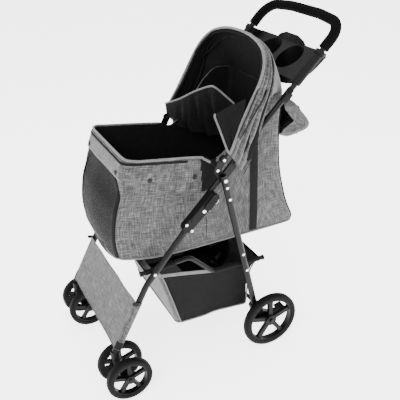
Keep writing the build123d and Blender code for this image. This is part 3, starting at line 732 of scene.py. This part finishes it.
def swell(piece, cap):
    """Blow the piece up as cloth, then hold every point within cap metres of its start. On this
    thin pad all points reach the cap, so the run gives the direction and the cap the distance."""
    piece.modifiers.new("Even faces", "REMESH").voxel_size = 0.005
    own_mesh(piece)
    start = corners_of(piece.data)
    cloth = piece.modifiers.new("Swell", "CLOTH").settings
    cloth.use_pressure, cloth.uniform_pressure_force = True, 4.0
    cloth.effector_weights.gravity = 0.0
    for step in range(1, 21):
        bpy.context.scene.frame_set(step)
    own_mesh(piece)
    bpy.context.scene.frame_set(1)
    move = corners_of(piece.data) - start
    far = np.linalg.norm(move, axis=1, keepdims=True)
    held = start + move * np.minimum(1, cap / np.maximum(far, 1e-9))
    piece.data.vertices.foreach_set("co", held.ravel())
    print("pad swelled by up to", round(float(far.max()) * 1000, 1), "mm before the cap")


def quilt(piece, depth, pitch=0.12):
    """Sink cross stitching of the given depth into the upper face."""
    p = corners_of(piece.data)
    near = np.minimum(np.abs(np.sin(np.pi * p[:, 0] / pitch)),
                      np.abs(np.sin(np.pi * (p[:, 1] + 0.01) / pitch)))
    p[:, 2] -= np.where(p[:, 2] > 0.411, depth * np.exp(-((near / 0.09) ** 2)), 0)
    piece.data.vertices.foreach_set("co", p.ravel())


pad_piece = join("floor_cushion", [surface("top", pad_face(1.0)),
                                   surface("under", pad_face(-0.7), flip=True)])
swell(pad_piece, 0.005)
quilt(pad_piece, 0.002)
pad_piece.data.materials.clear()
pad_piece.data.materials.append(PAD_CLOTH)
pad_piece.data.polygons.foreach_set("use_smooth", np.ones(len(pad_piece.data.polygons), bool))
pad_piece.modifiers.new("Smooth", "SUBSURF").render_levels = 1
print("pad faces", len(pad_piece.data.polygons))

# %% [markdown]
# ## Hood
# The folded hood hangs from the front hoop: a bound edge, a run of pleats behind it, and a
# sheet that closes it to the top of the cabin's back. Hoop places are (x, height up the hoop).
# Pleats could come from a cloth run. A wave across the hoop's depth is chosen, because it gives
# the same even folds each time. The hood and the cabin don't quite meet at the sides.

# %% Hood
HINGE_Y, HINGE_Z = 10.0, 660.0
LEAN = np.radians(60.7)


def hood_at(x, r, depth):
    """Point x across, r up the front hoop's plane and depth behind it."""
    x, r, depth = np.broadcast_arrays(np.asarray(x, float), np.asarray(r, float), np.asarray(depth, float))
    return np.stack([x, HINGE_Y + r * np.cos(LEAN) + depth * np.sin(LEAN),
                     HINGE_Z + r * np.sin(LEAN) - depth * np.cos(LEAN)], -1)


ARCH = [(204, 22), (205, 40), (200, 78), (194, 117), (192, 170), (191, 215), (183, 248), (167, 275),
        (140, 298), (100, 314), (52, 323), (0, 326)]
half_arch = along(ARCH, 121)
hood_arch = np.vstack([half_arch, (half_arch * (-1, 1))[-2::-1]])
slope = np.gradient(hood_arch, axis=0)
slope /= np.linalg.norm(slope, axis=1)[:, None]
outward = np.stack([slope[:, 1], -slope[:, 0]], -1)
hood_u = np.linspace(-1, 1, len(hood_arch))
bundle_depth = table([(-40, 74), (0, 72), (80, 66), (179, 55), (256, 36), (300, 30), (330, 30)],
                     hood_arch[:, 1])

fold = np.linspace(0, 1, 65)
tri = np.abs(((fold * 3.5 + 0.5) % 1) * 2 - 1)
ridge = 7.0 * np.sin(tri * np.pi / 2) ** 0.8 * (1 - 0.25 * fold) - 3.0
ridge = np.where(fold < 0.04, 0, ridge)
reach_r = hood_arch[:, 1][:, None] - 46 * fold * np.clip(1 - hood_arch[:, 1][:, None] / 120, 0, 1)
waver = 1.2 * np.sin(hood_u[:, None] * 23 + fold * 9) + 0.9 * np.sin(hood_u[:, None] * 41 - fold * 5)
push = ridge[None] + waver * np.sin(np.pi * fold)
hx = hood_arch[:, 0][:, None] + outward[:, 0][:, None] * push
hr = reach_r + outward[:, 1][:, None] * push
hd = bundle_depth[:, None] * fold[None] * (1 + 0.04 * np.sin(hood_u * 12))[:, None]
hood = hood_at(hx, hr, hd)
hood_piece = surface("hood_pleats", hood, thick=1.8, inner=1, flip=True)
hood_piece.data.materials.append(GREY)
hood_piece.data.materials.append(LINING)

start_s, corner_s = float(cabin.side_s(44.0, 680.0)), 0.755
share = np.clip(1 - np.abs(hood_u), 0, 1)
s_back = np.interp(share, [0, 0.6, 1], [start_s, corner_s, 1.0])
sign = np.where(hood_u <= 0, 1.0, -1.0)
low_edge = cabin.at(sign * s_back, top_of(s_back) - 3, 0.8)
rear_edge = hood[:, -1]
blend = np.linspace(0, 1, 41)[None, :, None]
back_sheet = rear_edge[:, None] * (1 - blend) + low_edge[:, None] * blend
middle_share = np.sin(np.pi * blend[..., 0]) * np.clip(share * 3, 0, 1)[:, None]
drop = (8 + 2.5 * np.sin(hood_u * 31)[:, None] + 1.5 * np.sin(hood_u * 57 + 1)[:, None]) * middle_share
back_sheet[..., 1] += drop * 0.6
back_sheet[..., 2] -= drop * 0.4
back_piece = surface("hood_back", back_sheet, thick=1.6, inner=1, flip=True)
back_piece.data.materials.append(GREY)
back_piece.data.materials.append(LINING)

edge_path = hood_at(hood_arch[:, 0], hood_arch[:, 1], -1.0)
hood_piping = rod("hood_piping", edge_path, 3.6, 14)
hood_piping.data.materials.append(PIPING)
zip_arch = hood_arch - outward * 8.0
zip_rows = np.stack([hood_at(*(zip_arch + outward * w).T, 2.0 + 0.2 * w)
                     for w in np.linspace(4, -4, 6)], 1)
hood_zip = surface("hood_zip", zip_rows, thick=1.0)
hood_zip.data.materials.append(WEBBING)


def lining_row(k):
    """Lining across the hood's depth, k from 0 in front to 1 behind, sunk inwards between them."""
    inset = (3 + 5 * np.sin(np.pi * k)) * (1 - k) - 1.5 * k
    return hood_at(*(hood_arch - outward * inset).T, 3 + k * (bundle_depth - 3))


lining_ring = surface("hood_lining", np.stack([lining_row(k) for k in np.linspace(0, 1, 9)], 1),
                      thick=0.8, flip=True)
lining_ring.data.materials.append(LINING)
print("hood rear edge", rear_edge[0].round(), rear_edge[120].round())

# %% [markdown]
# ## Open front cover
# The net cover is unzipped at the front: two loose flaps with a bound edge hang inside the hood.
# Each could hang in a cloth run. Here it is a grid between two drawn edges with waves added, so
# that the edges stay where they are put.

# %% Cover flaps
def loft(a, b, count):
    """Grid from line a to line b."""
    k = np.linspace(0, 1, count)[None, :, None]
    return a[:, None] * (1 - k) + b[:, None] * k


right_edge = along([(204, 20, 680), (198, 15, 694), (182, 13, 716), (160, 12, 742), (142, 11, 762),
                    (136, 14, 770)], 60)
right_hem = along([(198, 34, 694), (193, 46, 722), (188, 62, 752), (180, 78, 778), (164, 92, 796),
                   (150, 100, 802)], 60)
flap = loft(right_edge, right_hem, 25)
k = np.linspace(0, 1, 60)[:, None]
j = np.linspace(0, 1, 25)[None]
flap[..., 0] -= 7 * np.sin(np.pi * j) * np.sin(np.pi * k) + 2.5 * np.sin(j * 9 + k * 4) * np.sin(np.pi * j)
right_flap = surface("cover_flap_right", flap, thick=0.8)
right_binding = rod("cover_binding_right", right_edge, 2.8, 10)

left_edge = along([(-201, 14, 700), (-176, 22, 711), (-130, 37, 733), (-80, 54, 763), (-35, 69, 786),
                   (-8, 77, 797),
                   (4, 82, 797), (16, 95, 785), (30, 110, 768), (44, 124, 752)], 120)
left_hem = along([(-186, 10, 664), (-150, 30, 640), (-110, 52, 632), (-70, 78, 630), (-30, 100, 634),
                  (-5, 112, 640),
                  (8, 120, 648), (22, 128, 660), (38, 136, 676), (56, 142, 694)], 120)
drape = loft(left_edge, left_hem, 45)
k = np.linspace(0, 1, 120)[:, None]
j = np.linspace(0, 1, 45)[None]
fold_wave = np.sin(k * 30 + 1.5 * np.sin(j * 3)) + 0.5 * np.sin(k * 57 + j * 4)
drape[..., 1] += 6.5 * fold_wave * j**0.8 * np.sin(np.pi * np.clip(k * 1.02, 0, 1)) ** 0.5
drape[..., 0] += 2.5 * np.cos(k * 30 + j * 2) * j
left_flap = surface("cover_flap_left", drape, thick=0.8)
left_binding = rod("cover_binding_left", left_edge, 2.8, 10)
for piece in (right_flap, left_flap):
    piece.data.materials.append(NET)
for piece in (right_binding, left_binding):
    piece.data.materials.append(PIPING)

# %% [markdown]
# ## Rear pouch, hanging straps and pull rings
# The pouch hangs behind the cabin, below the tray. It could be a stuffed bag from a cloth run. It
# is one outline carried across the width instead, which is simple and gives a plain roll.

# %% Pouch, straps, rings
outline = along([(219, 668), (248, 652), (285, 655), (318, 662), (329, 674), (326, 690), (300, 724),
                 (272, 758),
                 (250, 768), (226, 772)], 90)
ends = np.linspace(-1, 1, 81)
taper = (1 - np.abs(ends) ** 7) ** (1 / 3)
centre = np.array([232.0, 716.0])
pouch = np.empty((81, 90, 3))
pouch[..., 0] = ends[:, None] * 148
pouch[..., 1:] = centre + (outline[None] - centre) * (0.55 + 0.45 * taper)[:, None, None]
pouch[..., 1] = np.maximum(pouch[..., 1], 219 + 0 * pouch[..., 1])
pouch[..., 1] += 2.2 * np.sin(ends * 9)[:, None] * np.sin(np.linspace(0, np.pi, 90))[None]
pouch[..., 2] += 2.0 * np.sin(ends * 14 + 1)[:, None] * np.sin(np.linspace(0, np.pi, 90))[None]
pouch_piece = surface("rear_pouch_cloth", pouch, thick=1.6, flip=True)
pouch_piece.data.materials.append(GREY)
ends_caps = []
for side in (0, -1):
    ring = pouch[side]
    cap = loft(ring, np.broadcast_to(ring.mean(0), ring.shape), 9)
    ends_caps.append(surface("cap", cap, flip=side == 0))
pouch_caps = join("rear_pouch_ends", ends_caps)
pouch_caps.data.materials.append(GREY)
pouch_hems = []
for row in (22, 66):
    pouch_hems.append(rod("hem", pouch[2:-2, row] + (0, 0.8, 0), 1.8, 8))
pouch_piping = join("rear_pouch_piping", pouch_hems)
pouch_piping.data.materials.append(LINING)


def handle_x(y):
    """Half width of the handle tube at y."""
    return 176 + 7 * np.clip((y - 40) / 335, 0, 1)


hang = []
for side in (1, -1):
    turn, w = np.meshgrid(np.linspace(-0.3, 2 * np.pi - 0.9, 40), np.linspace(-16, 16, 9), indexing="ij")
    y_on = 212 + w / np.sqrt(2)
    out = 9.6
    loop = np.stack([side * (handle_x(y_on) + out * np.cos(turn)), y_on - out * np.sin(turn) / np.sqrt(2),
                     y_on + 593 + out * np.sin(turn) / np.sqrt(2)], -1)
    hang.append(surface("loop", loop, thick=1.2))
    t, w = np.meshgrid(np.linspace(0, 1, 30), np.linspace(-14, 14, 7), indexing="ij")
    tail = np.stack([side * (168 - 17 * t - 3 * np.sin(np.pi * t)), 210 + w / np.sqrt(2) + 6 * t,
                     800 - 34 * t + w / np.sqrt(2) * (1 - t)], -1)
    hang.append(surface("tail", tail, thick=1.4))
hang_piece = join("handle_webbing", hang)
hang_piece.data.materials.append(WEBBING)

buckles = []
for side in (1, -1):
    a, b = np.meshgrid(np.linspace(0, 2 * np.pi, 33), np.linspace(-1, 1, 15), indexing="ij")
    crown = (1 - np.abs(b) ** 6) ** 0.5
    cx = np.sign(np.cos(a)) * np.abs(np.cos(a)) ** 0.5
    cy = np.sign(np.sin(a)) * np.abs(np.sin(a)) ** 0.5
    buckle_rows = np.stack([side * (186 + 5.5 * cx * crown), 205 + 10 * cy * crown + 12 * b,
                            797 - 6 * cy * crown + 12 * b], -1)
    buckles.append(surface("buckle", buckle_rows))
buckle_piece = join("strap_buckles", buckles)
buckle_piece.data.materials.append(PLASTIC)

rings = []
for side in (1, -1):
    a = np.linspace(0, 2 * np.pi, 41)
    ring_line = np.stack([side * (212 + 2 * np.cos(a)), -28 + 8 * np.cos(a), 556 + 8 * np.sin(a)], -1)
    rings.append((side, rod("pull_ring_" + ("right" if side > 0 else "left"), ring_line, 0.9, 8, False)))
for _, ring_piece in rings:
    ring_piece.data.materials.append(RIVET)

# %% [markdown]
# ## Basket
# The bag is a sagging tub hung from the two side tubes: grey front wall, net sides and back,
# pale bound edges, and a flat base board. It could hang in a cloth run. A formula for the sag is
# chosen, because the hem and the sleeves are laid on the same places.

# %% Basket
basket = Tub([(120, -120), (147, -137), (250, -166), (343, -196), (361, -226), (372, -236)],
             [(120, 100), (140, 103), (248, 112), (296, 138), (330, 142)],
             [(120, 160), (150, 165), (240, 168), (372, 169)], [(120, 16), (372, 16)], [(120, 16), (372, 16)])
BAG_TOP = [(-236, 361), (-200, 349), (-184, 343), (-120, 329), (-17, 306), (40, 301), (138, 299), (150, 299)]
BAG_LOW = [(-150, 151), (-60, 147), (-13, 150), (60, 143), (103, 139), (120, 139)]


def bag_top(s):
    y = basket.at(s, 335.0)[..., 1]
    return np.where(np.abs(s) < 0.24, 358.0, table(BAG_TOP, y))


def bag_low(s):
    return table(BAG_LOW, basket.at(s, 160.0)[..., 1])


bs = np.linspace(-1, 1, 361)
bv = np.linspace(0, 1, 61)
s2, v2 = np.meshgrid(bs, bv, indexing="ij")
bz = bag_top(bs)[:, None] + (bag_low(bs) - bag_top(bs))[:, None] * v2
flat_bag = basket.at(s2, bz)
bag_swell = ((ripple(flat_bag[..., 1] + flat_bag[..., 0], bz, 3.2, 5) - 2.0 * np.sin(np.pi * v2))
             * np.sin(np.pi * v2) ** 0.5)
bag = basket.at(s2, bz, bag_swell)
front_part = np.abs(s2[:-1, :-1]) < 0.262
bag_walls = surface("basket_walls", bag, index=np.where(front_part, 0, 1), thick=1.0, flip=True)
bag_walls.data.materials.append(GREY)
bag_walls.data.materials.append(NET)
cross, run = np.meshgrid(np.linspace(-1, 1, 51), np.linspace(0, 1, 61), indexing="ij")
es = 0.24 + 0.52 * run
edge = basket.at(es, bag_low(es))
bag_floor = np.stack([edge[..., 0] * cross, edge[..., 1],
                      edge[..., 2] - 5 * (1 - cross**2) * np.sin(np.pi * np.clip(run, 0.05, 1)) ** 0.5], -1)
bag_base = surface("basket_base", bag_floor, thick=1.0)
bag_base.data.materials.append(NET)

trims = [rod("low", basket.at(bs, bag_low(bs), 1.0), 2.4, 10, False),
         rod("rear_corner", basket.at(0.755, np.linspace(142, 297, 60), 1.0), 2.2, 8),
         rod("rear_corner", basket.at(-0.755, np.linspace(142, 297, 60), 1.0), 2.2, 8),
         rod("front_corner", basket.at(0.262, np.linspace(152, 352, 60), 1.0), 2.2, 8),
         rod("front_corner", basket.at(-0.262, np.linspace(152, 352, 60), 1.0), 2.2, 8)]
basket_trim = join("basket_trim", trims)
basket_trim.data.materials.append(PIPING)
hem_s = np.linspace(-float(basket.side_s(-15.0, 320.0)), float(basket.side_s(-15.0, 320.0)), 241)
hem_rows = np.stack([basket.at(hem_s, bag_top(hem_s) - w, 1.6) for w in np.linspace(-1, 11, 6)], 1)
basket_hem = surface("basket_hem", hem_rows, thick=1.2, flip=True)
basket_hem.data.materials.append(PIPING)

sleeves = []
TUBE_LINE = along([(-242, 369), (-170, 373), (-105, 376), (-88, 370), (-60, 343),
                   (-36, 320), (-22, 309), (0, 307), (70, 304.6), (144, 302)], 160)
for side in (1, -1):
    for first, last in ((4, 40), (96, 156)):
        line = TUBE_LINE[first:last]
        a = np.linspace(0, 2 * np.pi, 25)
        t = np.gradient(line, axis=0)
        t /= np.linalg.norm(t, axis=1)[:, None]
        normal = np.stack([-t[:, 1], t[:, 0]], -1)
        size = 7.6 + 0.3 * np.sin(np.arange(len(line)) * 0.9)[:, None]
        ring = np.stack([side * (178 + size * np.cos(a)[None]),
                         line[:, :1] + normal[:, :1] * size * np.sin(a)[None],
                         line[:, 1:] + normal[:, 1:] * size * np.sin(a)[None]], -1)
        sleeves.append(surface("sleeve", ring))
        top_line = np.stack([np.full(len(line), side * 171.5), line[:, 0], line[:, 1] - 5], -1)
        s_at = side * basket.side_s(line[:, 0], line[:, 1] - 14)
        low_z = np.minimum(line[:, 1] - 12, bag_top(np.abs(s_at)) - 2)
        low_line = basket.at(np.clip(np.abs(s_at), 0.262, 0.745) * side, low_z, 0.6)
        sleeves.append(surface("skirt", loft(top_line, low_line, 7)))
basket_sleeves = join("basket_sleeves", sleeves)
basket_sleeves.data.materials.append(LINING)

board_low, board_high = (np.array(c) * 1000 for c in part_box("basket_board"))
bx, by = np.meshgrid(np.linspace(-1, 1, 41), np.linspace(-1, 1, 31), indexing="ij")
round_x = bx * 150 * (1 - 0.02 * by**8)
mid = (board_low[1] + board_high[1]) / 2 - SHIFT_Y
round_y = mid + by * 102 * (1 - 0.03 * bx**8)
board = np.stack([round_x, round_y, 161.5 + 1.5 * np.sin(by * 2) - 4 * np.clip(by, 0, 1)], -1)
board_piece = surface("basket_mat", board, thick=3.0)
board_piece.data.materials.append(LINING)
print("bag", len(bag_walls.data.polygons))

# %% [markdown]
# ## Front panel
# One cloth panel that wraps round both front legs, with hemmed edges. A flat plane would do for
# its middle. A grid is used, so that it can turn round each leg.

# %% Front panel
TOP_YZ, LOW_YZ = np.array([-262.5, 292.0]), np.array([-337.0, 158.0])
down_leg = (LOW_YZ - TOP_YZ) / np.linalg.norm(LOW_YZ - TOP_YZ)
forward = np.array([down_leg[1], -down_leg[0]])
wrap = np.linspace(0, 1, 15) * np.pi * 0.95
half = [(194.6 + 9.0 * np.cos(a - 0.45 * np.pi), 11.0 * np.sin(a - 0.45 * np.pi)) for a in wrap]
half += [(x, 11.0) for x in (185, 170, 150, 120, 90, 60, 30, 0)]
half = along(half, 90)
profile = np.vstack([half, (half * (-1, 1))[-2::-1]])
reach = np.linalg.norm(LOW_YZ - TOP_YZ)
p, q = np.meshgrid(np.arange(len(profile)), np.linspace(0, 1, 61), indexing="ij")
flat_share = np.clip(1 - (np.abs(profile[:, 0]) / 188) ** 4, 0, 1)[:, None]
slack = flat_share * (-3.5 * np.sin(np.pi * q) + ripple(profile[:, 0][:, None], q * reach, 1.6, 5))
out = profile[:, 1][:, None] + slack
along_leg = (q * reach * (1 - 0.02 * flat_share) + 0.01 * reach * flat_share
             + 1.5 * flat_share * np.sin(p / 9) * (q - 0.5))
panel = np.stack([np.broadcast_to(profile[:, 0][:, None], p.shape),
                  TOP_YZ[0] + down_leg[0] * along_leg + forward[0] * out,
                  TOP_YZ[1] + down_leg[1] * along_leg + forward[1] * out], -1)
panel_piece = surface("front_panel_cloth", panel, thick=1.4)
panel_piece.data.materials.append(GREY)
hems = [rod("hem", panel[4:-4, row] , 1.3, 8) for row in (0, -1)]
panel_hem = join("front_panel_hems", hems)
panel_hem.data.materials.append(GREY)
print("panel", round(float(reach)), "mm deep")

# %% [markdown]
# ## Ride on bodies
# Most pieces ride on a body: the cabin pieces on the handle frame, the basket on its frame, the
# panel on the front frame, the hood's edge and zip on the canopy's front, and the pull rings on
# the fold locks. The hood's sheets and lining are not attached to a body.

# %% Ride on bodies
def rides(piece, body, nodes=()):
    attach(piece, body)
    if nodes:
        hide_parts(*nodes)


def place(y, z):
    return tuple(metres((0.0, y, z)))


on_handle = [(wall_piece, "cloth_grey", ["cabin_shell"]), (floor_piece, "cloth_grey", []),
             (window_piece, "mesh_black", ["front_window"]), (window_tape, "lining_black", []),
             (tape_inside, "lining_black", []), (collar_piece, "cloth_grey", []),
             (rim_piping, "cloth_grey", ["rim_wire"]), (rim_links, "black_steel", []),
             (rim_zip, "webbing_black", []), (bottom_piping, "cloth_grey", []),
             (corner_seams, "lining_black", []),
             (snap_piece, "snap_grey", ["snap_buttons"]), (side_strap, "webbing_black", ["side_straps"]),
             (pad_piece, "lining_black", ["floor_pad"]), (pouch_piece, "cloth_grey", ["rear_pouch"]),
             (pouch_caps, "cloth_grey", []), (pouch_piping, "lining_black", []),
             (right_flap, "mesh_black", ["mesh_cover"]), (left_flap, "mesh_black", []),
             (right_binding, "cloth_grey", []), (left_binding, "cloth_grey", [])]
for piece, slot_name, nodes in on_handle:
    rides(piece, "handle_frame", nodes)
    place(0, 593)
    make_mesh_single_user(piece)
rides(hang_piece, "handle_frame", ["hanging_straps"])
rides(buckle_piece, "handle_frame")
for piece, slot_name, nodes in ((hood_piece, "cloth_grey", ["canopy_shell"]), (back_piece, "cloth_grey", []),
                                (lining_ring, "lining_black", [])):
    if nodes:
        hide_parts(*nodes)
    place(214.6, 776.3)
    place(110, 835)
    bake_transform(piece)
rides(hood_piping, "canopy_front")
rides(hood_zip, "canopy_front")
for piece, slot_name, nodes in ((bag_walls, "mesh_black", ["basket_bag"]), (bag_base, "mesh_black", []),
                                (basket_trim, "cloth_grey", []), (basket_hem, "cloth_grey", []),
                                (basket_sleeves, "lining_black", []),
                                (board_piece, "lining_black", ["basket_board"])):
    rides(piece, "basket_frame", nodes)
    place(-95, 366)
    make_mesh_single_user(piece)
rides(panel_piece, "front_frame", ["front_panel"])
rides(panel_hem, "front_frame")
for side, ring_piece in rings:
    rides(ring_piece, "fold_lock_" + ("right" if side > 0 else "left"))

# %% [markdown]
# ## Cloth sizes
# Each cloth piece's flat size is worked out from its own modelled shape and printed. It is not
# a known cut, and pieces made of several strips give the strips laid end to end.

# %% Cloth sizes
def cut_size(piece, count=1):
    """Width and length of the flat cut in metres, and its area, for count equal strips."""
    area = np.empty(len(piece.data.polygons))
    piece.data.polygons.foreach_get("area", area)
    uv = np.empty(len(piece.data.loops) * 2)
    piece.data.uv_layers[0].data.foreach_get("uv", uv)
    width, length = np.ptp(uv.reshape(-1, 2), axis=0) * (count, 1)
    return (float(width), float(length)), float(area.sum())


def cloth(piece, held, rests_on, with_pieces=(), count=1):
    flat, area = cut_size(piece, count)
    print(piece.name, round(flat[0] * 1000), "x", round(flat[1] * 1000), "mm, area", round(area, 4))


cloth(wall_piece, "stretched", ["rim_wire"], [rim_piping, rim_zip, bottom_piping, corner_seams, snap_piece])
cloth(floor_piece, "hung", [wall_piece])
cloth(window_piece, "stretched", [wall_piece])
cloth(window_tape, "stretched", [window_piece])
cloth(tape_inside, "stretched", [window_piece])
cloth(collar_piece, "folded", ["rim_wire"])
cloth(side_strap, "stretched", [wall_piece], count=2)
cloth(hood_piece, "gathered", ["canopy_front_hoop", "canopy_rear_hoop"], [hood_piping, hood_zip])
cloth(back_piece, "hung", [hood_piece, wall_piece])
cloth(lining_ring, "stretched", [hood_piece])
cloth(right_flap, "hung", [hood_piece], [right_binding])
cloth(left_flap, "hung", [hood_piece], [left_binding])
cloth(pouch_piece, "hung", [wall_piece], [pouch_caps, pouch_piping])
cloth(hang_piece, "hung", ["handle_tube"], [buckle_piece], count=4)
cloth(bag_walls, "hung", ["basket_tube_left", "basket_tube_right"], [basket_trim])
cloth(bag_base, "hung", [bag_walls])
cloth(basket_hem, "folded", [bag_walls])
cloth(basket_sleeves, "stretched", ["basket_tube_left", "basket_tube_right"], count=8)
cloth(panel_piece, "stretched", ["front_leg_left", "front_leg_right"], [panel_hem])
